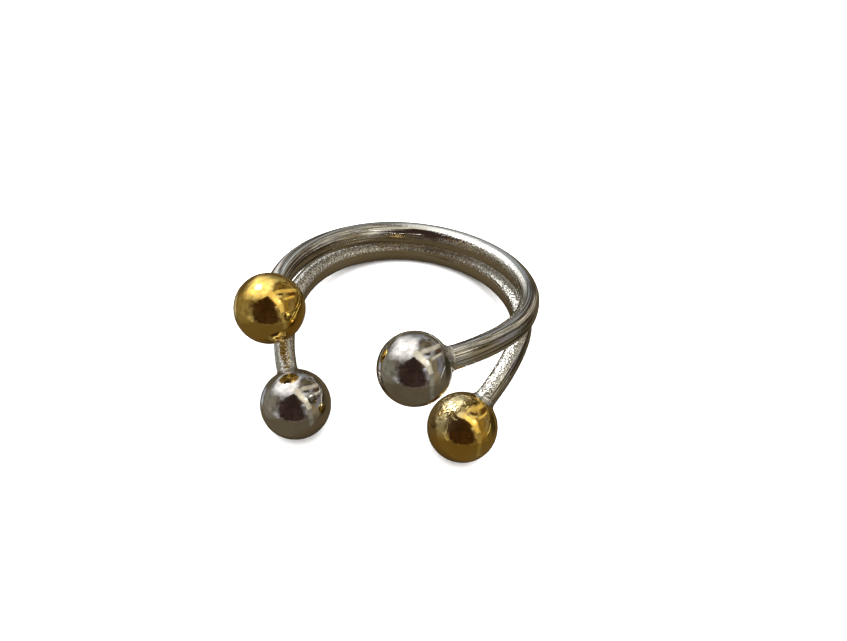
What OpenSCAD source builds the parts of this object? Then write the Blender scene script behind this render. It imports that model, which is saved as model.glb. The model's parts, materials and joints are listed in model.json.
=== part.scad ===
// Open finger ring of two metal bands, each ending in two polished balls.
// The ring lies as it rests on a table: on its two lower balls and on the back of its lower band.
// The front of the ring, where the balls are, faces -Y. The origin is under the middle of its box.

/* [Wire] */
// Width of the oval band wire, across the ring
wire_w = 1.7; // [1.5:0.05:1.85]
// Height of the oval band wire, along the finger
wire_h = 2.0; // [1.9:0.05:2.2]
// How much slimmer an arm's wire is than the wire of its band's back
arm_slimming = 0.02; // [0.02:0.01:0.06]

/* [Upper band] */
// Bend radius of the upper band's back, to the middle of the wire
upper_back_r = 9.7; // [9.5:0.1:10]
// Lean of the upper band, up towards the front, in degrees
upper_lean = 6; // [5:0.5:8]
// Where the upper band's left arm begins, in degrees round from the right
upper_left_start = 121; // [116:1:126]
// Bend radius of the upper band's left arm
upper_left_r = 11.9; // [11.5:0.1:12.3]
// How far the upper band's left arm is bent round, in degrees
upper_left_sweep = 61; // [58:1:63]
// Downward twist of the upper band's left arm, in degrees
upper_left_drop = 5; // [3:1:7]
// Where the upper band's front arm begins, in degrees round from the right
upper_front_start = -36; // [-40:1:-32]
// Bend radius of the upper band's front arm
upper_front_r = 11.1; // [10.5:0.1:11.5]
// How far the upper band's front arm is bent round, in degrees
upper_front_sweep = 31; // [28:1:33]
// Downward twist of the upper band's front arm, in degrees
upper_front_drop = 19; // [15:1:22]

/* [Lower band] */
// Bend radius of the lower band's back, to the middle of the wire
lower_back_r = 9.6; // [9.5:0.1:9.8]
// How far the lower band's centre lies behind the upper band's centre
lower_set_back = 0.5; // [0.4:0.05:0.6]
// Gap between the two bands at the back, which the solder fills
band_gap = 0.05; // [0.04:0.01:0.1]
// Where the lower band's left arm begins, in degrees round from the right
lower_left_start = 157; // [153:1:160]
// Bend radius of the lower band's left arm
lower_left_r = 12.5; // [12:0.1:13]
// How far the lower band's left arm is bent round, in degrees
lower_left_sweep = 52; // [50:1:54]
// Downward twist of the lower band's left arm, in degrees
lower_left_drop = 31; // [28:1:34]
// Where the lower band's right arm begins, in degrees round from the right
lower_right_start = -11; // [-14:1:-8]
// Bend radius of the lower band's right arm
lower_right_r = 8.9; // [8.5:0.1:9.3]
// How far the lower band's right arm is bent round, in degrees
lower_right_sweep = 46; // [43:1:49]
// Downward twist of the lower band's right arm, in degrees
lower_right_drop = 54; // [51:1:57]

/* [Balls] */
// Diameter of each ball
ball_d = 5.6; // [5.2:0.1:5.8]
// How deep the wire's edge stands in the ball
seat_depth = 0.15; // [0.1:0.05:0.3]
// Diameter of the peg that is turned on each end of a band
peg_d = 1; // [0.8:0.05:1.2]
// Length of the peg inside the ball
peg_length = 1.6; // [1.2:0.1:2]

/* [Solder] */
// Radius of the solder fillet where it meets the ball
fillet_r = 1.3; // [1.2:0.05:1.4]
// Length of the solder fillet along the wire
fillet_length = 0.5; // [0.4:0.05:0.6]
// Width of the solder seam between the bands
seam_w = 1.1; // [0.9:0.05:1.3]
// Height of the solder seam between the bands
seam_h = 0.7; // [0.6:0.05:0.9]
// Half of the arc over which the bands are soldered together, in degrees
seam_half_arc = 26; // [20:1:29]

/* [Hidden] */

SILVER = [0.78, 0.77, 0.75];
GOLD = [0.85, 0.62, 0.18];
SOLDER = [0.70, 0.69, 0.66];

round_sides = 96;
ball_r = ball_d / 2;
band_spacing = wire_h + band_gap;

// Distance from the end of an arm to the middle of its ball
ball_reach = sqrt(ball_r ^ 2 - (wire_h / 2) ^ 2) - seat_depth;

// Radius of a solder fillet at its foot, where it thins out on the wire
fillet_foot_r = wire_h / 2 + 0.04;

// How far an arm runs back inside the wire of its band's back, in degrees
arm_overlap = 1.2;
// How far a peg runs back inside its arm
peg_overlap = 0.5;

// Each arm: where it begins, its side (1 left, -1 right), bend radius, upward twist and sweep
upper_left = [upper_left_start, 1, upper_left_r, -upper_left_drop, upper_left_sweep];
upper_front = [upper_front_start, -1, upper_front_r, -upper_front_drop, upper_front_sweep];
lower_left = [lower_left_start, 1, lower_left_r, -lower_left_drop, lower_left_sweep];
lower_right = [lower_right_start, -1, lower_right_r, -lower_right_drop, lower_right_sweep];

// Middle of the ball at the end of an arm, in its own band's frame
function ball_in_band(back_r, arm) =
    let (
        inward = arm[2] * (1 - cos(arm[4])) + ball_reach * sin(arm[4]),
        along = arm[1] * (arm[2] * sin(arm[4]) + ball_reach * cos(arm[4])),
        out = back_r - inward * cos(arm[3])
    )
    [
        out * cos(arm[0]) - along * sin(arm[0]),
        out * sin(arm[0]) + along * cos(arm[0]),
        inward * sin(arm[3])
    ];

// A point of the upper band's frame, in the ring's frame
function upper_in_ring(p) =
    let (from_back = p[1] - upper_back_r)
    [
        p[0],
        upper_back_r + from_back * cos(upper_lean) + p[2] * sin(upper_lean),
        band_spacing / 2 - from_back * sin(upper_lean) + p[2] * cos(upper_lean)
    ];

// A point of the lower band's frame, in the ring's frame
function lower_in_ring(p) = [p[0], p[1] + lower_set_back, p[2] - band_spacing / 2];

// Half of the wire's extent along a direction that leans from its width towards its height
function wire_half(lean) = wire_w / 2 + (wire_h - wire_w) / 2 * sin(lean);

upper_left_ball_at = upper_in_ring(ball_in_band(upper_back_r, upper_left));
upper_front_ball_at = upper_in_ring(ball_in_band(upper_back_r, upper_front));
lower_left_ball_at = lower_in_ring(ball_in_band(lower_back_r, lower_left));
lower_right_ball_at = lower_in_ring(ball_in_band(lower_back_r, lower_right));
lower_back_at = lower_in_ring([0, lower_back_r, 0]);
upper_back_at = upper_in_ring([0, upper_back_r, 0]);

// Tilt at which a ball and the back of the lower band touch the same table
function tilt_onto_table(ball_at, back_half) =
    let (
        behind = lower_back_at[1] - ball_at[1],
        above = lower_back_at[2] - ball_at[2]
    )
    acos((back_half - ball_r) / norm([behind, above])) - atan2(behind, above);

// Tilt at which the ring rests on its two lower balls and the back of its lower band
function tilt_at_rest(back_half) =
    (tilt_onto_table(lower_left_ball_at, back_half) + tilt_onto_table(lower_right_ball_at, back_half)) / 2;
first_tilt = tilt_at_rest(wire_h / 2);
rest_tilt = tilt_at_rest(wire_half(90 - first_tilt));

// A point of the ring's frame, tilted as the ring rests
function tilted(p) = [
    p[0],
    p[1] * cos(rest_tilt) + p[2] * sin(rest_tilt),
    p[2] * cos(rest_tilt) - p[1] * sin(rest_tilt)
];

balls_at = [
    tilted(upper_left_ball_at),
    tilted(upper_front_ball_at),
    tilted(lower_left_ball_at),
    tilted(lower_right_ball_at)
];
left_side = min([for (ball = balls_at) ball[0]]) - ball_r;
right_side = max(upper_back_r, lower_back_r) + wire_w / 2;
front_side = min([for (ball = balls_at) ball[1]]) - ball_r;
back_side = max(
    tilted(upper_back_at)[1] + wire_half(rest_tilt + upper_lean),
    tilted(lower_back_at)[1] + wire_half(rest_tilt)
);
table = min(
    min([for (ball = balls_at) ball[2]]) - ball_r,
    tilted(lower_back_at)[2] - wire_half(90 - rest_tilt)
);

// Lays the ring's frame down as the ring rests, with the origin under the middle of its box
module as_it_rests() {
    translate([-(left_side + right_side) / 2, -(front_side + back_side) / 2, -table])
        rotate([-rest_tilt, 0, 0])
            children();
}

// Puts children in the upper band's frame, which leans about its back
module in_upper_band() {
    as_it_rests()
        translate([0, upper_back_r, band_spacing / 2])
            rotate([-upper_lean, 0, 0])
                translate([0, -upper_back_r, 0])
                    children();
}

// Puts children in the lower band's frame
module in_lower_band() {
    as_it_rests()
        translate([0, lower_set_back, -band_spacing / 2])
            children();
}

// Puts children at the start of an arm, with +X out of the ring and +Y along the wire
module at_start(back_r, arm) {
    rotate([0, 0, arm[0]])
        translate([back_r, 0, 0])
            rotate([0, arm[3], 0])
                mirror([0, arm[1] < 0 ? 1 : 0, 0])
                    children();
}

// Puts children at the end of an arm's bend, with +Z along the wire towards the ball
module at_end(back_r, arm) {
    at_start(back_r, arm)
        translate([-arm[2], 0, 0])
            rotate([0, 0, arm[4]])
                translate([arm[2], 0, 0])
                    rotate([-90, 0, 0])
                        children();
}

// The oval section of the wire, turned so that an arm goes on from the back without a twist
module wire_section(slimming, turn) {
    rotate(turn) {
        for (end = [-1, 1])
            translate([0, end * (wire_h - wire_w) / 2])
                circle(d = wire_w - slimming, $fn = round_sides);
        square([wire_w - slimming, wire_h - wire_w], center = true);
    }
}

// A length of wire bent round the frame's Z axis
module bent_wire(bend_r, from, to, slimming = 0, turn = 0) {
    rotate([0, 0, from])
        rotate_extrude(angle = to - from, $fn = round_sides)
            translate([bend_r, 0])
                wire_section(slimming, turn);
}

// The bent wire of one arm
module arm_wire(back_r, arm) {
    at_start(back_r, arm)
        translate([-arm[2], 0, 0])
            bent_wire(arm[2], -arm_overlap, arm[4], arm_slimming, arm[3]);
}

// The peg that is turned on the end of an arm and goes into its ball
module peg(back_r, arm) {
    at_end(back_r, arm)
        translate([0, 0, -peg_overlap])
            cylinder(d = peg_d, h = peg_overlap + peg_length, $fn = round_sides);
}

// A whole band: the round back, then an arm and its peg at each end
module band(back_r, left_arm, right_arm) {
    bent_wire(back_r, right_arm[0], left_arm[0]);
    for (arm = [left_arm, right_arm]) {
        arm_wire(back_r, arm);
        peg(back_r, arm);
    }
}

// A ball with the seat and the blind hole that take the end of the wire
module ball(back_r, arm) {
    difference() {
        at_end(back_r, arm)
            translate([0, 0, ball_reach])
                sphere(d = ball_d, $fn = round_sides);
        arm_wire(back_r, arm);
        peg(back_r, arm);
    }
}

// The solder run round the wire where it meets the ball
module solder_fillet(back_r, arm) {
    entry = ball_reach - sqrt(ball_r ^ 2 - fillet_r ^ 2);
    difference() {
        at_end(back_r, arm)
            difference() {
                translate([0, 0, entry - fillet_length])
                    cylinder(r1 = fillet_foot_r, r2 = fillet_r, h = fillet_length, $fn = round_sides);
                translate([0, 0, ball_reach])
                    sphere(d = ball_d, $fn = round_sides);
            }
        arm_wire(back_r, arm);
    }
}

module upper_band() {
    color(SILVER)
        in_upper_band()
            band(upper_back_r, upper_left, upper_front);
}

module lower_band() {
    color(SILVER)
        in_lower_band()
            band(lower_back_r, lower_left, lower_right);
}

// The seam lies in the groove between the bands, round the back of the ring
module band_solder_seam() {
    seam_r = (upper_back_r + lower_back_r + lower_set_back) / 2;
    color(SOLDER)
        difference() {
            as_it_rests()
                rotate([0, 0, 90 - seam_half_arc])
                    rotate_extrude(angle = 2 * seam_half_arc, $fn = round_sides)
                        translate([seam_r, 0])
                            square([seam_w, seam_h], center = true);
            in_upper_band()
                band(upper_back_r, upper_left, upper_front);
            in_lower_band()
                band(lower_back_r, lower_left, lower_right);
        }
}

module upper_left_gold_ball() {
    color(GOLD)
        in_upper_band()
            ball(upper_back_r, upper_left);
}

module upper_front_silver_ball() {
    color(SILVER)
        in_upper_band()
            ball(upper_back_r, upper_front);
}

module lower_left_silver_ball() {
    color(SILVER)
        in_lower_band()
            ball(lower_back_r, lower_left);
}

module lower_right_gold_ball() {
    color(GOLD)
        in_lower_band()
            ball(lower_back_r, lower_right);
}

module upper_left_solder_fillet() {
    color(SOLDER)
        in_upper_band()
            solder_fillet(upper_back_r, upper_left);
}

module upper_front_solder_fillet() {
    color(SOLDER)
        in_upper_band()
            solder_fillet(upper_back_r, upper_front);
}

module lower_left_solder_fillet() {
    color(SOLDER)
        in_lower_band()
            solder_fillet(lower_back_r, lower_left);
}

module lower_right_solder_fillet() {
    color(SOLDER)
        in_lower_band()
            solder_fillet(lower_back_r, lower_right);
}

upper_band();
lower_band();
band_solder_seam();
upper_left_gold_ball();
upper_front_silver_ball();
lower_left_silver_ball();
lower_right_gold_ball();
upper_left_solder_fillet();
upper_front_solder_fillet();
lower_left_solder_fillet();
lower_right_solder_fillet();
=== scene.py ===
import json
from math import atan2, cos, pi, radians, sin, sqrt

import bmesh
import bpy
from mathutils import Matrix, Vector, noise


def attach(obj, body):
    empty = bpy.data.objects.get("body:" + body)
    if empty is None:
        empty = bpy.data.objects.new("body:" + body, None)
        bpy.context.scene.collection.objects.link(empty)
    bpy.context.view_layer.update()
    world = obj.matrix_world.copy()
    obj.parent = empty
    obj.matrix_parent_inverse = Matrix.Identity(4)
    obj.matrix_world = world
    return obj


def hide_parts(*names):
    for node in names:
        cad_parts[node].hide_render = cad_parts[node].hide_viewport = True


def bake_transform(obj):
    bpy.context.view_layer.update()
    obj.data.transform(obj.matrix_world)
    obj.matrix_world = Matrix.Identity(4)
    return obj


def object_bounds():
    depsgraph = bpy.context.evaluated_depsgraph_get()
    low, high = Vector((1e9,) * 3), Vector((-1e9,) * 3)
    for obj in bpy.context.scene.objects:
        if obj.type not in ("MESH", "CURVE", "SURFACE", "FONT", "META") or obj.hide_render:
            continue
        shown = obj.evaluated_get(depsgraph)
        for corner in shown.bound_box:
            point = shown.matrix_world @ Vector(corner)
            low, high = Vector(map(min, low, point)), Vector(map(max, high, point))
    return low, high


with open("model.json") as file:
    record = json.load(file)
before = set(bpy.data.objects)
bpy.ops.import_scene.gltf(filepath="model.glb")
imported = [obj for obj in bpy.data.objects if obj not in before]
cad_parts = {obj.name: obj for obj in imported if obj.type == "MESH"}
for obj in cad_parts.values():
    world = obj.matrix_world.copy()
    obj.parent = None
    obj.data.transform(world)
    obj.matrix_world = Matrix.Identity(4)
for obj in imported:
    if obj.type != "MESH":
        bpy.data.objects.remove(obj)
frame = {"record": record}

cad_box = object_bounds()

# ---------------------------------------------------------------------------------------------
# The table, the camera and the light tent
# The ring lies on a plain white table, about a hand's length from the camera. Polished metal
# shows only what stands round it, so the cards of the light tent do the shading.
# ---------------------------------------------------------------------------------------------
MM = 0.001

camera_elevation = radians(53.7625)
camera_roll = radians(6.3823)
camera_distance = 74.925 * MM
box_middle = (Vector(cad_box[0]) + Vector(cad_box[1])) / 2
aim = box_middle + Vector((2.786, 0.151, -2.121)) * MM

view_line = Vector((0, cos(camera_elevation), -sin(camera_elevation)))
level_up = Vector((0, sin(camera_elevation), cos(camera_elevation)))
camera_right = Vector((1, 0, 0)) * cos(camera_roll) + level_up * sin(camera_roll)
camera_up = level_up * cos(camera_roll) - Vector((1, 0, 0)) * sin(camera_roll)

camera_data = bpy.data.cameras.new("camera")
camera_data.sensor_width = 36
camera_data.lens = 38.25
camera_data.clip_start = 0.005
camera_data.clip_end = 20
camera_data.dof.use_dof = False
camera = bpy.data.objects.new("camera", camera_data)
bpy.context.scene.collection.objects.link(camera)
camera_axes = Matrix((camera_right, camera_up, -view_line)).transposed().to_4x4()
camera.matrix_world = Matrix.Translation(aim - view_line * camera_distance) @ camera_axes
bpy.context.scene.camera = camera
bpy.context.scene.view_settings.view_transform = "Standard"


def add_node(tree, kind, settings=None, **inputs):
    """A new node with its settings and inputs; an input is a value or another node's output."""
    made = tree.nodes.new(kind)
    for key, value in (settings or {}).items():
        setattr(made, key, value)
    for key, value in inputs.items():
        socket = made.inputs[key.replace("_", " ")]
        if isinstance(value, bpy.types.NodeSocket):
            tree.links.new(value, socket)
        else:
            socket.default_value = value
    return made


def piece_from(name, points, faces, material):
    """A smooth mesh piece from its points, in metres, and its faces, all turned outward."""
    mesh = bpy.data.meshes.new(name)
    mesh.from_pydata([tuple(p) for p in points], [], faces)
    mesh.validate()
    shell = bmesh.new()
    shell.from_mesh(mesh)
    bmesh.ops.recalc_face_normals(shell, faces=shell.faces)
    shell.to_mesh(mesh)
    shell.free()
    mesh.shade_smooth()
    mesh.materials.append(material)
    made = bpy.data.objects.new(name, mesh)
    bpy.context.scene.collection.objects.link(made)
    return made


# The table top
table_paint = bpy.data.materials.new("table_paint")
table_paint.use_nodes = True
table_shader = table_paint.node_tree.nodes["Principled BSDF"]
table_shader.inputs["Base Color"].default_value = (0.93, 0.93, 0.925, 1)
table_shader.inputs["Roughness"].default_value = 0.9
table_shader.inputs["Specular IOR Level"].default_value = 0.1
table_half = 0.30
table_drop = 0.02 * MM
table_corners = [(-1, -1), (1, -1), (1, 1), (-1, 1)]
table = piece_from(
    "table",
    [(x * table_half, y * table_half, cad_box[0][2] - table_drop) for x, y in table_corners],
    [(0, 1, 2, 3)],
    table_paint,
)
table.visible_glossy = False

# A thin olive mat on the table, which the metal mirrors and the eye doesn't see
mat_paint = bpy.data.materials.new("olive_mat_paint")
mat_paint.use_nodes = True
mat_shader = mat_paint.node_tree.nodes["Principled BSDF"]
mat_shader.inputs["Base Color"].default_value = (0.042, 0.031, 0.017, 1)
mat_shader.inputs["Roughness"].default_value = 1.0
mat_shader.inputs["Specular IOR Level"].default_value = 0.0
mat_r = 14 * MM
mat_drop = 0.01 * MM
mat_sides = 48
mat_rim = []
for side in range(mat_sides):
    round_at = 2 * pi * side / mat_sides
    mat_rim.append((mat_r * cos(round_at), mat_r * sin(round_at), cad_box[0][2] - mat_drop))
olive_mat = piece_from("olive_mat", mat_rim, [tuple(range(mat_sides))], mat_paint)
olive_mat.visible_camera = False
olive_mat.visible_diffuse = False
olive_mat.visible_shadow = False

# The room round the tent, as the metal mirrors it: dull olive below, a mottled warm grey above.
# Seen straight, it is plain white.
room = bpy.data.worlds.new("room")
bpy.context.scene.world = room
room.use_nodes = True
room_tree = room.node_tree
room_tree.nodes.clear()
sight = add_node(room_tree, "ShaderNodeTexCoord")
height = add_node(room_tree, "ShaderNodeSeparateXYZ", Vector=sight.outputs["Generated"])
warp = add_node(
    room_tree, "ShaderNodeTexNoise", Vector=sight.outputs["Generated"], Scale=3.0, Detail=2.0
)
bent = add_node(
    room_tree,
    "ShaderNodeVectorMath",
    {"operation": "MULTIPLY_ADD"},
    Vector=warp.outputs["Color"],
)
bent.inputs[1].default_value = (0.35, 0.35, 0.35)
room_tree.links.new(sight.outputs["Generated"], bent.inputs[2])
things = add_node(
    room_tree,
    "ShaderNodeTexVoronoi",
    {"feature": "F1"},
    Vector=bent.outputs["Vector"],
    Scale=4.5,
    Randomness=1.0,
)
thing_tone = add_node(room_tree, "ShaderNodeSeparateColor", Color=things.outputs["Color"])
above = add_node(room_tree, "ShaderNodeValToRGB", Fac=thing_tone.outputs["Red"])
room_tones = [
    (0.00, (0.080, 0.065, 0.055)),
    (0.25, (0.150, 0.120, 0.095)),
    (0.45, (0.230, 0.210, 0.190)),
    (0.70, (0.340, 0.330, 0.330)),
    (0.88, (0.800, 0.800, 0.850)),
]
above.color_ramp.interpolation = "CONSTANT"
for place, tone in room_tones[2:]:
    above.color_ramp.elements.new(place)
for element, (place, tone) in zip(above.color_ramp.elements, room_tones):
    element.position = place
    element.color = (*tone, 1)
horizon = add_node(
    room_tree, "ShaderNodeMapRange", Value=height.outputs["Z"], From_Min=-0.12, From_Max=0.10
)
halves = add_node(
    room_tree, "ShaderNodeMix", {"data_type": "RGBA"}, Factor=horizon.outputs["Result"]
)
halves.inputs[6].default_value = (0.124, 0.098, 0.060, 1)
room_tree.links.new(above.outputs["Color"], halves.inputs[7])
ray = add_node(room_tree, "ShaderNodeLightPath")
seen = add_node(
    room_tree, "ShaderNodeMix", {"data_type": "RGBA"}, Factor=ray.outputs["Is Camera Ray"]
)
room_tree.links.new(halves.outputs[2], seen.inputs[6])
seen.inputs[7].default_value = (1.0, 1.0, 1.0, 1)
glow = add_node(room_tree, "ShaderNodeBackground", Color=seen.outputs[2], Strength=1.0)
add_node(room_tree, "ShaderNodeOutputWorld", Surface=glow.outputs["Background"])

# A wide overhead light, for the table only
overhead = bpy.data.lights.new("overhead", "AREA")
overhead.shape = "DISK"
overhead.size = 1.4
overhead.energy = 32.0
overhead_lamp = bpy.data.objects.new("overhead", overhead)
overhead_lamp.location = (0.0, 0.0, 0.8)
overhead_lamp.visible_glossy = False
overhead_lamp.visible_camera = False
bpy.context.scene.collection.objects.link(overhead_lamp)


def mirrored_at(across, up):
    """The direction that a polished ball mirrors to the camera at this place on its face."""
    toward = sqrt(max(0.0, 1 - across * across - up * up))
    face = camera_right * across + camera_up * up - view_line * toward
    return (face * (2 * toward) + view_line).normalized()


def edge_fade(share, soft):
    """How solid a card is, this share of the way across it; a soft edge thins out."""
    return min(1.0, min(share, 1 - share) / soft) if soft else 1.0


card_steps = 16


def tent_card(name, corners, colour, strength, reach, cloudy, soft):
    """A glowing or dark card of the tent, hung where a ball mirrors its four corners.

    Reach is how far off it hangs, in metres; cloudy is how uneven it is, and soft how wide the
    edges are that thin out, across it and down it.
    """
    a, b, c, d = [Vector(corner) for corner in corners]
    points, cover = [], []
    for i in range(card_steps + 1):
        for j in range(card_steps + 1):
            u = i / card_steps
            v = j / card_steps
            cover.append(edge_fade(u, soft[0]) * edge_fade(v, soft[1]))
            at = a * (1 - u) * (1 - v) + b * u * (1 - v) + c * u * v + d * (1 - u) * v
            points.append(box_middle + mirrored_at(at.x, at.y) * reach)
    faces = []
    for i in range(card_steps):
        for j in range(card_steps):
            first = i * (card_steps + 1) + j
            faces.append((first, first + 1, first + card_steps + 2, first + card_steps + 1))
    paper = bpy.data.materials.new(name + "_paper")
    paper.use_nodes = True
    tree = paper.node_tree
    tree.nodes.clear()
    glowing = add_node(tree, "ShaderNodeEmission", Color=(*colour, 1), Strength=strength)
    if cloudy:
        hung = add_node(tree, "ShaderNodeTexCoord")
        cloud = add_node(
            tree, "ShaderNodeTexNoise", Vector=hung.outputs["Object"], Scale=9.0, Detail=4.0
        )
        lit = add_node(
            tree,
            "ShaderNodeMapRange",
            Value=cloud.outputs["Fac"],
            From_Min=0.36,
            From_Max=0.62,
            To_Min=strength * (1 - cloudy),
            To_Max=strength,
        )
        tree.links.new(lit.outputs["Result"], glowing.inputs["Strength"])
    there = add_node(tree, "ShaderNodeAttribute", {"attribute_name": "cover"})
    open_air = add_node(tree, "ShaderNodeBsdfTransparent")
    edged = add_node(tree, "ShaderNodeMixShader", Fac=there.outputs["Fac"])
    tree.links.new(open_air.outputs["BSDF"], edged.inputs[1])
    tree.links.new(glowing.outputs["Emission"], edged.inputs[2])
    add_node(tree, "ShaderNodeOutputMaterial", Surface=edged.outputs["Shader"])
    card = piece_from(name, points, faces, paper)
    card.data.attributes.new("cover", "FLOAT", "POINT").data.foreach_set("value", cover)
    card.visible_camera = False
    card.visible_diffuse = False
    card.visible_shadow = False


white_paper = (1.00, 0.98, 0.95)
cool_paper = (0.88, 0.95, 1.00)
cream_paper = (1.00, 0.92, 0.72)
ochre_paper = (1.00, 0.80, 0.46)
lilac_paper = (0.96, 0.88, 0.94)
rust_paper = (1.00, 0.55, 0.32)
camera_paper = (0.050, 0.029, 0.022)

# How wide the soft edges are, across and down: of a card, of the dark card, of the strip, of a lamp
card_edge = (0.28, 0.22)
camera_edge = (0.10, 0.0)
strip_edge = (0.25, 0.0)
lamp_edge = (0.5, 0.5)

# Each card: its name, its four corners, then its paper, strength, reach and cloudiness
cards = (
    (
        "window",
        ((-0.72, 0.20), (-0.50, 0.88), (0.18, 0.86), (0.10, 0.20)),
        white_paper, 1.75, 0.34, 0.45,
    ),
    (
        "window_top",
        ((-0.40, 0.78), (-0.28, 0.92), (0.36, 0.90), (0.20, 0.68)),
        cool_paper, 0.48, 0.35, 0.60,
    ),
    (
        "window_lamp",
        ((-0.40, 0.46), (-0.37, 0.62), (-0.19, 0.65), (-0.18, 0.48)),
        white_paper, 12.00, 0.33, 0.00,
    ),
    (
        "left_screen",
        ((-0.88, -0.40), (-0.86, 0.42), (-0.46, 0.42), (-0.40, -0.40)),
        cream_paper, 0.31, 0.36, 0.50,
    ),
    (
        "left_edge",
        ((-0.97, -0.18), (-0.92, 0.34), (-0.84, 0.40), (-0.87, -0.24)),
        cool_paper, 0.60, 0.35, 0.50,
    ),
    (
        "right_screen",
        ((0.42, -0.44), (0.28, 0.40), (0.60, 0.40), (0.72, -0.44)),
        ochre_paper, 0.30, 0.36, 0.35,
    ),
    (
        "right_shelf",
        ((0.56, -0.16), (0.56, 0.34), (0.74, 0.34), (0.74, -0.16)),
        lilac_paper, 0.26, 0.35, 0.60,
    ),
    (
        "right_wall",
        ((0.76, -0.46), (0.78, 0.52), (0.92, 0.30), (0.93, -0.30)),
        ochre_paper, 0.05, 0.35, 0.30,
    ),
    (
        "brown_shelf",
        ((0.10, 0.54), (0.18, 0.74), (0.56, 0.72), (0.50, 0.58)),
        ochre_paper, 0.26, 0.35, 0.60,
    ),
    (
        "brown_book",
        ((0.50, 0.36), (0.50, 0.52), (0.72, 0.54), (0.76, 0.38)),
        rust_paper, 0.13, 0.34, 0.50,
    ),
    (
        "cross_strip",
        ((0.06, 0.32), (0.10, 0.50), (0.72, 0.66), (0.72, 0.52)),
        cream_paper, 1.05, 0.31, 0.40,
    ),
    (
        "thin_strip",
        ((0.40, 0.18), (0.40, 0.28), (0.72, 0.43), (0.74, 0.34)),
        cream_paper, 0.95, 0.31, 0.30,
    ),
    (
        "right_glint",
        ((0.64, -0.28), (0.66, -0.27), (0.80, 0.06), (0.78, 0.06)),
        cool_paper, 1.40, 0.31, 0.30,
    ),
)
for name, corners, paper, strength, reach, cloudy in cards:
    tent_card(name, corners, paper, strength, reach, cloudy, card_edge)


def hang_in_lengths(name, sections, paper, strengths, reach, cloudy, soft):
    """A long card hung as lengths that meet end to end; a section is its left and right edge."""
    for number, (high, low) in enumerate(zip(sections, sections[1:])):
        corners = (high[0], high[1], low[1], low[0])
        length_name = "%s_%d" % (name, number)
        tent_card(length_name, corners, paper, strengths[number], reach, cloudy, soft)


# The dark card round the camera
camera_sections = (
    ((-0.03, 0.31), (0.03, 0.31)),
    ((-0.25, 0.18), (0.15, 0.18)),
    ((-0.42, 0.05), (0.26, 0.04)),
    ((-0.46, -0.12), (0.34, -0.12)),
    ((-0.42, -0.29), (0.36, -0.29)),
    ((-0.26, -0.40), (0.28, -0.41)),
    ((-0.12, -0.43), (0.10, -0.44)),
)
hang_in_lengths("camera_card", camera_sections, camera_paper, [1.0] * 6, 0.32, 0.45, camera_edge)

# The long curved strip beside it, weaker towards its foot
strip_sections = (
    ((-0.05, 0.36), (0.10, 0.52)),
    ((0.12, 0.20), (0.26, 0.32)),
    ((0.27, 0.04), (0.43, 0.14)),
    ((0.35, -0.16), (0.50, -0.10)),
    ((0.36, -0.42), (0.51, -0.42)),
    ((0.36, -0.80), (0.50, -0.76)),
)
strip_strengths = (1.10, 1.40, 0.80, 0.33, 0.20)
hang_in_lengths("long_strip", strip_sections, cream_paper, strip_strengths, 0.30, 0.30, strip_edge)

# Small lamps: how far across and up, half their width, and their strength
small_lamps = (
    (0.33, 0.18, 0.045, 4.5),
    (-0.25, 0.10, 0.02, 0.18),
    (-0.31, -0.03, 0.015, 0.18),
    (0.17, -0.22, 0.02, 0.18),
    (-0.33, -0.22, 0.015, 0.18),
)
for number, (across, up, half, strength) in enumerate(small_lamps):
    corners = (
        (across - half, up - half),
        (across - half, up + half),
        (across + half, up + half),
        (across + half, up - half),
    )
    tent_card("small_lamp_%d" % number, corners, white_paper, strength, 0.29, 0.0, lamp_edge)

# ---------------------------------------------------------------------------------------------
# The two bands
# Oval silver wire, bent round a mandrel: a round back and an arm at each end, the arms bent and
# leant to part the four balls. The ends are filed flat and turned down to a peg for each ball.
# ---------------------------------------------------------------------------------------------
wire_half_w = 0.85 * MM
wire_half_h = 1.00 * MM
wire_straight = wire_half_h - wire_half_w
arm_slimming = 0.01 * MM
peg_r = 0.5 * MM
peg_length = 1.6 * MM
band_spacing = 2.05 * MM
upper_lean = radians(6)
lower_set_back = 0.5 * MM
upper_back_r = 9.7 * MM
lower_back_r = 9.6 * MM
# Each arm: where it begins, its side (1 left, -1 right), bend radius, upward twist and sweep
upper_left_arm = (radians(121), 1, 11.9 * MM, radians(-5), radians(61))
upper_front_arm = (radians(-36), -1, 11.1 * MM, radians(-19), radians(31))
lower_left_arm = (radians(157), 1, 12.5 * MM, radians(-31), radians(52))
lower_right_arm = (radians(-11), -1, 8.9 * MM, radians(-54), radians(46))

mount = frame["record"]["mounts"][0]
finger_axis = Vector(mount["axis"])
ring_frame = Matrix.Translation(Vector(mount["pos_m"])) @ Matrix.Rotation(
    -atan2(finger_axis.y, finger_axis.z), 4, "X"
)
upper_frame = (
    ring_frame
    @ Matrix.Translation((0, upper_back_r, band_spacing / 2))
    @ Matrix.Rotation(-upper_lean, 4, "X")
    @ Matrix.Translation((0, -upper_back_r, 0))
)
lower_frame = ring_frame @ Matrix.Translation((0, lower_set_back, -band_spacing / 2))


def arm_frame(back_r, arm):
    """The frame at the start of an arm: +X out of the ring and +Y along the wire."""
    start, side, _, twist, _ = arm
    return (
        Matrix.Rotation(start, 4, "Z")
        @ Matrix.Translation((back_r, 0, 0))
        @ Matrix.Rotation(twist, 4, "Y")
        @ Matrix.Diagonal((1, side, 1, 1))
    )


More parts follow.
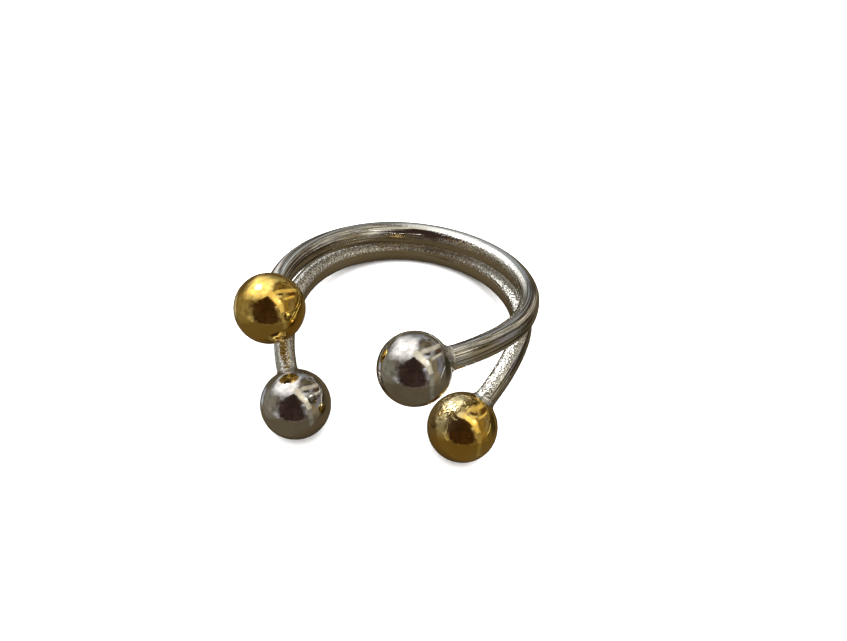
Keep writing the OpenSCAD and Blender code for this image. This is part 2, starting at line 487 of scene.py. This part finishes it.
def arm_end(back_r, arm):
    """The end of an arm: its middle, and the wire's width, height and onward directions."""
    _, _, bend_r, twist, sweep = arm
    at = arm_frame(back_r, arm)
    turn = at.to_3x3()
    middle = at @ Vector((bend_r * (cos(sweep) - 1), bend_r * sin(sweep), 0))
    out = turn @ Vector((cos(sweep), sin(sweep), 0))
    up = turn @ Vector((0, 0, 1))
    width = out * cos(twist) + up * sin(twist)
    tall = up * cos(twist) - out * sin(twist)
    onward = turn @ Vector((-sin(sweep), cos(sweep), 0))
    return middle, width, tall, onward


slimming_run = 0.06


def wire_line(back_r, left_arm, right_arm, step):
    """Places along a band's wire, from left end to right: middle, width, height and slimming."""
    places = []

    def along_arm(arm, order):
        start, side, bend_r, twist, sweep = arm
        count = int(bend_r * sweep / step) + 1
        for i in order(range(1, count + 1)):
            part_arm = (start, side, bend_r, twist, sweep * i / count)
            middle, width, tall, _ = arm_end(back_r, part_arm)
            places.append((middle, width, tall, min(1.0, i / count / slimming_run)))

    along_arm(left_arm, lambda run: list(reversed(run)))
    back_count = int(back_r * (left_arm[0] - right_arm[0]) / step) + 1
    for i in range(back_count + 1):
        turned = left_arm[0] + (right_arm[0] - left_arm[0]) * i / back_count
        out = Vector((cos(turned), sin(turned), 0))
        places.append((out * back_r, out, Vector((0, 0, 1)), 0.0))
    along_arm(right_arm, list)
    return places


def smooth_step(low, high, value):
    """0 below low, 1 above high, and a smooth rise between them."""
    share = min(1.0, max(0.0, (value - low) / (high - low)))
    return share * share * (3 - 2 * share)


wire_around = 56
wire_step = 0.16 * MM
burnish_ripple = 0.028 * MM
peg_chamfer = 0.1 * MM


def band_piece(
    name, frame_of_band, back_r, left_arm, right_arm, seed, grain_at, draw_lines_and_shade_at, material
):
    """A band: hand-burnished wire swept along its line, with a turned peg at each end."""
    places = wire_line(back_r, left_arm, right_arm, wire_step)
    points, lay, grain, drawn, rings = [], [], [], [], []

    def add_ring(middle, width, tall, half_w, straight, along, worn):
        ring = []
        for j in range(wire_around):
            round_at = 2 * pi * j / wire_around
            c, s = cos(round_at), sin(round_at)
            flow = Vector((c * 1.5, s * 1.5, along / MM * 0.30 + seed))
            ripple = 0.5 + 0.5 * noise.noise(flow)
            short_flow = Vector((c * 3.1, s * 3.1, along / MM * 0.75 - seed))
            ripple = 0.75 * ripple + 0.25 * (0.5 + 0.5 * noise.noise(short_flow))
            reach = half_w - worn * ripple
            x = reach * c
            y = reach * s + straight * (1 if s > 1e-9 else -1 if s < -1e-9 else 0)
            ring.append(len(points))
            points.append(frame_of_band @ (middle + width * x + tall * y))
            lay.append((x / MM, y / MM, along / MM))
            grain.append(grain_at(along / MM, round_at))
            drawn.append(draw_lines_and_shade_at(along / MM, round_at))
        rings.append(ring)

    left_middle, left_width, left_tall, left_onward = arm_end(back_r, left_arm)
    right_middle, right_width, right_tall, right_onward = arm_end(back_r, right_arm)
    peg_steps = (
        (0.0, peg_r),
        (peg_length - peg_chamfer, peg_r),
        (peg_length, peg_r - peg_chamfer),
    )
    for depth, radius in reversed(peg_steps):
        left_at = left_middle + left_onward * depth
        add_ring(left_at, left_width, left_tall, radius, 0.0, -depth, 0.0)
    along = 0.0
    before = places[0][0]
    for middle, width, tall, slim in places:
        along += (middle - before).length
        before = middle
        half_w = wire_half_w - arm_slimming * slim
        add_ring(middle, width, tall, half_w, wire_straight, along, burnish_ripple)
    for depth, radius in peg_steps:
        right_at = right_middle + right_onward * depth
        add_ring(right_at, right_width, right_tall, radius, 0.0, along + depth, 0.0)

    faces = [tuple(rings[0]), tuple(reversed(rings[-1]))]
    for near, far in zip(rings, rings[1:]):
        for j in range(wire_around):
            k = (j + 1) % wire_around
            faces.append((near[j], far[j], far[k], near[k]))
    band = piece_from(name, points, faces, material)
    mesh = band.data
    mesh.set_sharp_from_angle(angle=radians(50))
    mesh.attributes.new("wire_lay", "FLOAT_VECTOR", "POINT").data.foreach_set(
        "vector", [value for place in lay for value in place]
    )
    mesh.attributes.new("grain", "FLOAT", "POINT").data.foreach_set("value", grain)
    # drawn: where the draw lines show, both as furrows and as painted shade along them
    mesh.attributes.new("drawn", "FLOAT", "POINT").data.foreach_set("value", drawn)
    return band


def silver_wire(name, bright, tarnish, grain_depth):
    """Burnished silver: lengthwise draw lines with painted shade along them, cloudy streaks, and a
    sparkling cast grain.
    """
    made = bpy.data.materials.new(name)
    made.use_nodes = True
    tree = made.node_tree
    shader = tree.nodes["Principled BSDF"]
    shader.inputs["Metallic"].default_value = 1.0
    lay = add_node(tree, "ShaderNodeAttribute", {"attribute_name": "wire_lay"})
    grain = add_node(tree, "ShaderNodeAttribute", {"attribute_name": "grain"})
    draw_line_and_shade_share = add_node(tree, "ShaderNodeAttribute", {"attribute_name": "drawn"})

    def wire_noise(across, along, detail, rough):
        """A noise that is drawn out along the wire; its scales are per millimetre."""
        drawn_out = add_node(
            tree, "ShaderNodeVectorMath", {"operation": "MULTIPLY"}, Vector=lay.outputs["Vector"]
        )
        drawn_out.inputs[1].default_value = (across, across, along)
        made_noise = add_node(
            tree,
            "ShaderNodeTexNoise",
            Vector=drawn_out.outputs["Vector"],
            Scale=1.0,
            Detail=detail,
            Roughness=rough,
        )
        return made_noise.outputs["Fac"]

    cloud = wire_noise(1.1, 0.35, 3.0, 0.55)
    streak = wire_noise(2.2, 0.14, 2.0, 0.50)
    furrow = wire_noise(5.2, 0.10, 1.0, 0.50)
    draw_line = wire_noise(16.0, 0.55, 2.0, 0.50)
    pits = wire_noise(5.2, 5.2, 1.0, 0.50)

    toned = add_node(tree, "ShaderNodeMapRange", Value=streak, From_Min=0.38, From_Max=0.68)
    colour = add_node(tree, "ShaderNodeMix", {"data_type": "RGBA"}, Factor=toned.outputs["Result"])
    colour.inputs[6].default_value = (*bright, 1)
    colour.inputs[7].default_value = (*tarnish, 1)
    # Painted shade: dark lines painted into the silver's colour along the furrow pattern, where the
    # draw lines show
    painted_shade_line = add_node(tree, "ShaderNodeMapRange", Value=furrow, From_Min=0.51, From_Max=0.58)
    painted_shade_share = add_node(tree, "ShaderNodeMath", {"operation": "MULTIPLY"})
    tree.links.new(painted_shade_line.outputs["Result"], painted_shade_share.inputs[0])
    tree.links.new(draw_line_and_shade_share.outputs["Fac"], painted_shade_share.inputs[1])
    shade_lined = add_node(tree, "ShaderNodeMix", {"data_type": "RGBA"}, Factor=painted_shade_share.outputs[0])
    tree.links.new(colour.outputs[2], shade_lined.inputs[6])
    shade_lined.inputs[7].default_value = (0.17, 0.145, 0.11, 1)
    speck = add_node(
        tree,
        "ShaderNodeMapRange",
        Value=pits,
        From_Min=0.40,
        From_Max=0.56,
        To_Min=0.25,
        To_Max=1.0,
    )
    specked = add_node(tree, "ShaderNodeMath", {"operation": "MULTIPLY"})
    tree.links.new(speck.outputs["Result"], specked.inputs[0])
    tree.links.new(grain.outputs["Fac"], specked.inputs[1])
    frosted = add_node(tree, "ShaderNodeMix", {"data_type": "RGBA"}, Factor=specked.outputs[0])
    tree.links.new(shade_lined.outputs[2], frosted.inputs[6])
    frosted.inputs[7].default_value = (0.99, 0.98, 0.93, 1)
    tree.links.new(frosted.outputs[2], shader.inputs["Base Color"])

    smooth = add_node(
        tree, "ShaderNodeMapRange", Value=cloud, From_Min=0.3, From_Max=0.7, To_Min=0.03, To_Max=0.11
    )
    rougher = add_node(tree, "ShaderNodeMath", {"operation": "MULTIPLY_ADD"})
    tree.links.new(specked.outputs[0], rougher.inputs[0])
    rougher.inputs[1].default_value = 0.24
    tree.links.new(smooth.outputs["Result"], rougher.inputs[2])
    tree.links.new(rougher.outputs[0], shader.inputs["Roughness"])

    pitted = add_node(tree, "ShaderNodeMath", {"operation": "MULTIPLY"})
    tree.links.new(pits, pitted.inputs[0])
    tree.links.new(grain.outputs["Fac"], pitted.inputs[1])
    drawn = add_node(tree, "ShaderNodeBump", Strength=1.0, Distance=0.003 * MM, Height=draw_line)
    furrowed = add_node(tree, "ShaderNodeMath", {"operation": "MULTIPLY"})
    tree.links.new(furrow, furrowed.inputs[0])
    tree.links.new(draw_line_and_shade_share.outputs["Fac"], furrowed.inputs[1])
    ploughed = add_node(
        tree,
        "ShaderNodeBump",
        Strength=1.0,
        Distance=0.080 * MM,
        Height=furrowed.outputs[0],
        Normal=drawn.outputs["Normal"],
    )
    rolled = add_node(
        tree,
        "ShaderNodeBump",
        Strength=1.0,
        Distance=0.050 * MM,
        Height=streak,
        Normal=ploughed.outputs["Normal"],
    )
    grained = add_node(
        tree,
        "ShaderNodeBump",
        Strength=1.0,
        Distance=grain_depth,
        Height=pitted.outputs[0],
        Normal=rolled.outputs["Normal"],
    )
    tree.links.new(grained.outputs["Normal"], shader.inputs["Normal"])
    return made


# Where the finishes lie: along is in millimetres from a band's left end, and round_at is the
# angle round the wire, with 0 outward and a quarter turn upward
def upper_grain(along, round_at):
    """The upper band is burnished all over, but for a satin patch inside its right back."""
    patch = smooth_step(18.0, 24.0, along) * (1 - smooth_step(29.0, 34.0, along))
    inner = smooth_step(0.1, 0.7, -cos(round_at)) * smooth_step(-0.30, 0.15, sin(round_at))
    return 0.10 + 0.75 * patch * inner


def upper_draw_lines_and_shade(along, round_at):
    """Draw lines, with painted shade along them, show on the upper band's two arms; its back is
    polished smooth.
    """
    left_arm = 1.3 * (1 - smooth_step(10.0, 19.0, along))
    front_arm = 1.2 * smooth_step(29.0, 34.0, along)
    return max(left_arm, front_arm, 0.12)


def lower_grain(along, round_at):
    """The lower band keeps its cast grain on its top, and on the right arm's inner face."""
    top = smooth_step(0.08, 0.40, sin(round_at)) * smooth_step(-0.45, 0.0, -cos(round_at))
    inner = smooth_step(-0.75, -0.15, -cos(round_at)) * smooth_step(-0.75, -0.1, sin(round_at))
    right_arm = smooth_step(36.0, 39.5, along)
    left_arm = 1 - smooth_step(5.0, 13.0, along)
    on_back = 0.94 * top * (1 - right_arm) * (1 - 0.55 * left_arm)
    return min(1.0, 0.06 + on_back + inner * right_arm + 0.22 * left_arm)


def lower_draw_lines_and_shade(along, round_at):
    """The lower band shows its draw lines, with painted shade along them, best on the outer side of
    its right arm.
    """
    return 0.15 + 0.95 * smooth_step(34.0, 38.0, along) * smooth_step(0.1, 0.5, cos(round_at))


upper_silver = silver_wire("upper_band_silver", (0.88, 0.88, 0.85), (0.71, 0.69, 0.63), 0.07 * MM)
lower_silver = silver_wire("lower_band_silver", (0.90, 0.90, 0.87), (0.73, 0.72, 0.66), 0.13 * MM)
upper_band_wire = band_piece(
    "upper_band_wire",
    upper_frame,
    upper_back_r,
    upper_left_arm,
    upper_front_arm,
    3.0,
    upper_grain,
    upper_draw_lines_and_shade,
    upper_silver,
)
lower_band_wire = band_piece(
    "lower_band_wire",
    lower_frame,
    lower_back_r,
    lower_left_arm,
    lower_right_arm,
    11.0,
    lower_grain,
    lower_draw_lines_and_shade,
    lower_silver,
)
# The two bands, baked in place; their CAD parts are hidden
for band, node in ((upper_band_wire, "upper_band"), (lower_band_wire, "lower_band")):
    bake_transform(band)
    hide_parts(node)

# ---------------------------------------------------------------------------------------------
# The solder seam
# Silver solder run into the groove between the bands round the back of the ring. It holds them
# together; its face is hollow where it wetted both wires, and it thins out at both ends.
# ---------------------------------------------------------------------------------------------
seam_half_arc = radians(26)
seam_half_w = 0.50 * MM
seam_hollow = 0.14 * MM
seam_overlap = 0.03 * MM


def seam_piece(material):
    """A strip that fills the groove, hollow on both faces, following the two bands."""
    steps = 90
    levels = 6
    points, faces, rings = [], [], []
    for i in range(steps + 1):
        turned = pi / 2 + seam_half_arc * (2 * i / steps - 1)
        end_share = min(i, steps - i) / steps
        taper = smooth_step(0.0, 0.10, end_share)
        above = upper_frame @ Vector((upper_back_r * cos(turned), upper_back_r * sin(turned), 0))
        below = lower_frame @ Vector((lower_back_r * cos(turned), lower_back_r * sin(turned), 0))
        middle = (above + below) / 2
        up = (above - below).normalized()
        out = ring_frame.to_3x3() @ Vector((cos(turned), sin(turned), 0))
        out = (out - up * out.dot(up)).normalized()
        apart = (above - below).length / 2 - wire_straight
        wander = 0.06 * MM * noise.noise(Vector((turned * 9.0, 2.0, 0.0)))
        half_w = (seam_half_w + wander) * (0.25 + 0.75 * taper)
        ring = []
        for side in (1, -1):
            for level in range(levels + 1):
                share = side * (2 * level / levels - 1)
                hollow = seam_hollow * (1 - share * share) * taper
                x = half_w - hollow
                wall = apart - sqrt(wire_half_w ** 2 - half_w ** 2) + seam_overlap
                ring.append(len(points))
                points.append(middle + out * (x * side) + up * (wall * share))
        rings.append(ring)
    faces += [tuple(reversed(rings[0])), tuple(rings[-1])]
    count = len(rings[0])
    for near, far in zip(rings, rings[1:]):
        for j in range(count):
            k = (j + 1) % count
            faces.append((near[j], near[k], far[k], far[j]))
    return piece_from("seam_solder", points, faces, material)


def solder_metal(name, colour, dull):
    """Silver solder, as it flowed: a slightly dull, dimpled skin."""
    made = bpy.data.materials.new(name)
    made.use_nodes = True
    tree = made.node_tree
    shader = tree.nodes["Principled BSDF"]
    shader.inputs["Metallic"].default_value = 1.0
    place = add_node(tree, "ShaderNodeTexCoord")
    skin = add_node(
        tree,
        "ShaderNodeTexNoise",
        Vector=place.outputs["Object"],
        Scale=2600.0,
        Detail=4.0,
        Roughness=0.6,
    )
    toned = add_node(tree, "ShaderNodeMix", {"data_type": "RGBA"}, Factor=skin.outputs["Fac"])
    toned.inputs[6].default_value = (*colour, 1)
    toned.inputs[7].default_value = (*dull, 1)
    tree.links.new(toned.outputs[2], shader.inputs["Base Color"])
    matt = add_node(tree, "ShaderNodeMapRange", Value=skin.outputs["Fac"], To_Min=0.10, To_Max=0.34)
    tree.links.new(matt.outputs["Result"], shader.inputs["Roughness"])
    dimples = add_node(
        tree, "ShaderNodeBump", Strength=1.0, Distance=0.05 * MM, Height=skin.outputs["Fac"]
    )
    tree.links.new(dimples.outputs["Normal"], shader.inputs["Normal"])
    return made


seam_metal = solder_metal("seam_solder_metal", (0.94, 0.93, 0.89), (0.72, 0.70, 0.65))
seam_solder = seam_piece(seam_metal)
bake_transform(seam_solder)
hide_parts("band_solder_seam")

# ---------------------------------------------------------------------------------------------
# The four balls
# Solid balls, turned and polished by hand, two silver and two gold-plated. Each has a shallow
# flat seat and a blind hole, and is pushed on over the peg at the end of its band's arm.
# ---------------------------------------------------------------------------------------------
ball_r = 2.8 * MM
seat_depth = 0.15 * MM
ball_reach = sqrt(ball_r ** 2 - wire_half_h ** 2) - seat_depth


def arm_end_on_table(frame_of_band, back_r, arm):
    """An arm's end as the ring lies: its middle, and its width, height and onward directions."""
    middle, width, tall, onward = arm_end(back_r, arm)
    turn = frame_of_band.to_3x3()
    return frame_of_band @ middle, turn @ width, turn @ tall, turn @ onward


ball_around = 112
ball_rows = 84
ball_swell = 0.02 * MM
# The side of a ball that the buffing wheel reached least
crinkled_side = Vector((-0.66, 0.20, 0.72)).normalized()


def ball_piece(name, end, seed, crinkled_share, material):
    """A ball turned about the wire's line, with its seat and blind hole, slightly out of true."""
    end_at, width, tall, onward = end
    centre = end_at + onward * ball_reach
    profile = [(ball_reach - peg_length, 0.02 * MM), (ball_reach - peg_length, peg_r)]
    profile += [(ball_reach, peg_r), (ball_reach, wire_half_h)]
    first = atan2(wire_half_h, ball_reach + seat_depth)
    turned = len(profile)
    for i in range(ball_rows + 1):
        lean = first + (pi - 0.01 - first) * i / ball_rows
        profile.append((ball_r * cos(lean), ball_r * sin(lean)))
    points, faces, worn, rings = [], [], [], []
    for i, (back, radius) in enumerate(profile):
        ring = []
        for j in range(ball_around):
            spun = 2 * pi * j / ball_around
            point = width * (radius * cos(spun)) + tall * (radius * sin(spun)) - onward * back
            roughness = 0.0
            if i >= turned:
                face = point.normalized()
                swell = 0.5 + 0.5 * noise.noise(face * 2.2 + Vector((seed, 0, 0)))
                small_swell = 0.5 + 0.5 * noise.noise(face * 5.0 + Vector((0, seed, 0)))
                swell = 0.7 * swell + 0.3 * small_swell
                point = face * (ball_r - ball_swell * swell)
                roughness = crinkled_share * smooth_step(0.52, 0.86, face.dot(crinkled_side))
            ring.append(len(points))
            points.append(centre + point)
            worn.append(roughness)
        rings.append(ring)
    faces += [tuple(reversed(rings[0])), tuple(rings[-1])]
    for near, far in zip(rings, rings[1:]):
        for j in range(ball_around):
            k = (j + 1) % ball_around
            faces.append((near[j], near[k], far[k], far[j]))
    ball = piece_from(name, points, faces, material)
    ball.data.set_sharp_from_angle(angle=radians(50))
    ball.data.attributes.new("crinkle", "FLOAT", "POINT").data.foreach_set("value", worn)
    return ball


def polished_metal(
    name, clean, stained, crinkled_side_tone, dull_low, dull_high, wave_depth, crinkle_depth
):
    """A ball's hand-polished metal: buffing waves, a cloudy stain, hairlines, a crinkled side."""
    made = bpy.data.materials.new(name)
    made.use_nodes = True
    tree = made.node_tree
    shader = tree.nodes["Principled BSDF"]
    shader.inputs["Metallic"].default_value = 1.0
    place = add_node(tree, "ShaderNodeTexCoord")
    crinkle = add_node(tree, "ShaderNodeAttribute", {"attribute_name": "crinkle"})

    def ball_noise(scale, detail, rough, distortion=0.0):
        made_noise = add_node(
            tree,
            "ShaderNodeTexNoise",
            Vector=place.outputs["Object"],
            Scale=scale,
            Detail=detail,
            Roughness=rough,
            Distortion=distortion,
        )
        return made_noise.outputs["Fac"]

    cloud = ball_noise(420.0, 3.0, 0.55)
    wave = ball_noise(650.0, 2.0, 0.45)
    folds = ball_noise(1500.0, 2.0, 0.50, 0.4)
    hairline = ball_noise(9000.0, 2.0, 0.5, 1.5)

    toned = add_node(tree, "ShaderNodeMapRange", Value=cloud, From_Min=0.42, From_Max=0.70)
    colour = add_node(tree, "ShaderNodeMix", {"data_type": "RGBA"}, Factor=toned.outputs["Result"])
    colour.inputs[6].default_value = (*clean, 1)
    colour.inputs[7].default_value = (*stained, 1)
    # The crinkled side takes a tone of its own; on the crinkled gold ball it is a paler gold
    crinkled_side_toned = add_node(tree, "ShaderNodeMix", {"data_type": "RGBA"}, Factor=crinkle.outputs["Fac"])
    tree.links.new(colour.outputs[2], crinkled_side_toned.inputs[6])
    crinkled_side_toned.inputs[7].default_value = (*crinkled_side_tone, 1)
    tree.links.new(crinkled_side_toned.outputs[2], shader.inputs["Base Color"])

    buffed = add_node(
        tree,
        "ShaderNodeMapRange",
        Value=cloud,
        From_Min=0.3,
        From_Max=0.7,
        To_Min=dull_low,
        To_Max=dull_high,
    )
    rougher = add_node(tree, "ShaderNodeMath", {"operation": "MULTIPLY_ADD"})
    tree.links.new(crinkle.outputs["Fac"], rougher.inputs[0])
    rougher.inputs[1].default_value = 0.12
    tree.links.new(buffed.outputs["Result"], rougher.inputs[2])
    tree.links.new(rougher.outputs[0], shader.inputs["Roughness"])

    folded = add_node(tree, "ShaderNodeMath", {"operation": "MULTIPLY"})
    tree.links.new(folds, folded.inputs[0])
    tree.links.new(crinkle.outputs["Fac"], folded.inputs[1])
    scratched = add_node(tree, "ShaderNodeBump", Strength=1.0, Distance=0.0006 * MM, Height=hairline)
    waved = add_node(
        tree,
        "ShaderNodeBump",
        Strength=1.0,
        Distance=wave_depth,
        Height=wave,
        Normal=scratched.outputs["Normal"],
    )
    crinkled = add_node(
        tree,
        "ShaderNodeBump",
        Strength=1.0,
        Distance=crinkle_depth,
        Height=folded.outputs[0],
        Normal=waved.outputs["Normal"],
    )
    tree.links.new(crinkled.outputs["Normal"], shader.inputs["Normal"])
    return made


upper_left_end = arm_end_on_table(upper_frame, upper_back_r, upper_left_arm)
upper_front_end = arm_end_on_table(upper_frame, upper_back_r, upper_front_arm)
lower_left_end = arm_end_on_table(lower_frame, lower_back_r, lower_left_arm)
lower_right_end = arm_end_on_table(lower_frame, lower_back_r, lower_right_arm)

gold_clean = (1.0, 0.71, 0.20)
gold_stained = (0.95, 0.58, 0.09)
silver_clean = (0.76, 0.75, 0.73)
silver_stained = (0.60, 0.57, 0.53)
gold_paler_side = (1.0, 0.84, 0.46)
bright_gold = polished_metal(
    "bright_gold", gold_clean, gold_stained, gold_clean, 0.03, 0.07, 0.030 * MM, 0.04 * MM
)
crinkled_gold = polished_metal(
    "crinkled_gold", gold_clean, gold_stained, gold_paler_side, 0.02, 0.06, 0.045 * MM, 0.150 * MM
)
smooth_silver = polished_metal(
    "smooth_silver", silver_clean, silver_stained, silver_clean, 0.04, 0.09, 0.012 * MM, 0.015 * MM
)
blotched_silver = polished_metal(
    "blotched_silver", silver_clean, silver_stained, silver_clean, 0.03, 0.09, 0.040 * MM, 0.05 * MM
)

# Each ball: its name, arm end, seed, how crinkled it is, and its metal, then its node, slot and body
balls = (
    (
        "upper_left_ball", upper_left_end, 1.0, 0.10, bright_gold,
        "upper_left_gold_ball", "gold_ball", "left_balls",
    ),
    (
        "upper_front_ball", upper_front_end, 5.0, 0.0, smooth_silver,
        "upper_front_silver_ball", "silver_ball", "bands_and_right_balls",
    ),
    (
        "lower_left_ball", lower_left_end, 9.0, 0.35, blotched_silver,
        "lower_left_silver_ball", "silver_ball", "left_balls",
    ),
    (
        "lower_right_ball", lower_right_end, 14.0, 1.0, crinkled_gold,
        "lower_right_gold_ball", "gold_ball", "bands_and_right_balls",
    ),
)
for name, end, seed, crinkled_share, material, node, finish_slot, body in balls:
    ball = ball_piece(name, end, seed, crinkled_share, material)
    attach(ball, body)
    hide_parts(node)

# ---------------------------------------------------------------------------------------------
# The solder fillets
# A thin collar of silver solder drawn in round each wire where it enters its ball. It is oval
# on the wire and round on the ball, hollow between them, and rubbed smooth.
# ---------------------------------------------------------------------------------------------
fillet_r = 1.3 * MM
fillet_length = 0.5 * MM
fillet_around = 72
flare_rows = 14
unevenness = 0.03 * MM


def fillet_piece(name, end, seed, material):
    """A hollow flare of solder from the wire's oval up to a circle on the ball."""
    end_at, width, tall, onward = end
    lip = ball_reach - sqrt(ball_r ** 2 - fillet_r ** 2)
    points, faces, rings = [], [], []

    def oval(spun, margin):
        reach = wire_half_w - arm_slimming + margin
        sideways = wire_straight * (1 if sin(spun) > 1e-9 else -1 if sin(spun) < -1e-9 else 0)
        return Vector((reach * cos(spun), reach * sin(spun) + sideways))

    def add_ring(depth_at, flat_at):
        ring = []
        for j in range(fillet_around):
            spun = 2 * pi * j / fillet_around
            flat = flat_at(spun)
            ring.append(len(points))
            points.append(end_at + onward * depth_at(spun) + width * flat.x + tall * flat.y)
        rings.append(ring)

    for i in range(flare_rows + 1):
        share = i / flare_rows
        rise = share ** 2.4

        def flat_at(spun, rise=rise, share=share):
            round_lip = Vector((fillet_r * cos(spun), fillet_r * sin(spun)))
            place = Vector((cos(spun) * 1.4, sin(spun) * 1.4, seed))
            uneven = unevenness * noise.noise(place) * share
            lip_part = round_lip * (1 + uneven / fillet_r - 0.01) * rise
            return oval(spun, 0.006 * MM) * (1 - rise) + lip_part

        def depth_at(spun, share=share):
            place = Vector((cos(spun) * 1.2, sin(spun) * 1.2, seed + 4))
            foot = -fillet_length * (1 + 0.16 * noise.noise(place))
            return lip + foot * (1 - share) + 0.02 * MM * share

        add_ring(depth_at, flat_at)
    add_ring(lambda spun: 0.12 * MM, lambda spun: Vector((cos(spun), sin(spun))) * (1.02 * MM))
    add_ring(lambda spun: 0.12 * MM, lambda spun: oval(spun, -0.03 * MM))
    add_ring(lambda spun: lip - fillet_length * 0.9, lambda spun: oval(spun, -0.03 * MM))
    count = len(rings)
    for i in range(count):
        near, far = rings[i], rings[(i + 1) % count]
        for j in range(fillet_around):
            k = (j + 1) % fillet_around
            faces.append((near[j], far[j], far[k], near[k]))
    return piece_from(name, points, faces, material)


neck_metal = solder_metal("neck_solder_metal", (0.96, 0.95, 0.91), (0.80, 0.78, 0.73))
necks = (
    ("upper_left_neck", upper_left_end, 2.0, "upper_left_solder_fillet", "left_balls"),
    ("upper_front_neck", upper_front_end, 6.0, "upper_front_solder_fillet", "bands_and_right_balls"),
    ("lower_left_neck", lower_left_end, 10.0, "lower_left_solder_fillet", "left_balls"),
    ("lower_right_neck", lower_right_end, 15.0, "lower_right_solder_fillet", "bands_and_right_balls"),
)
for name, end, seed, node, body in necks:
    neck = fillet_piece(name, end, seed, neck_metal)
    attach(neck, body)
    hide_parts(node)
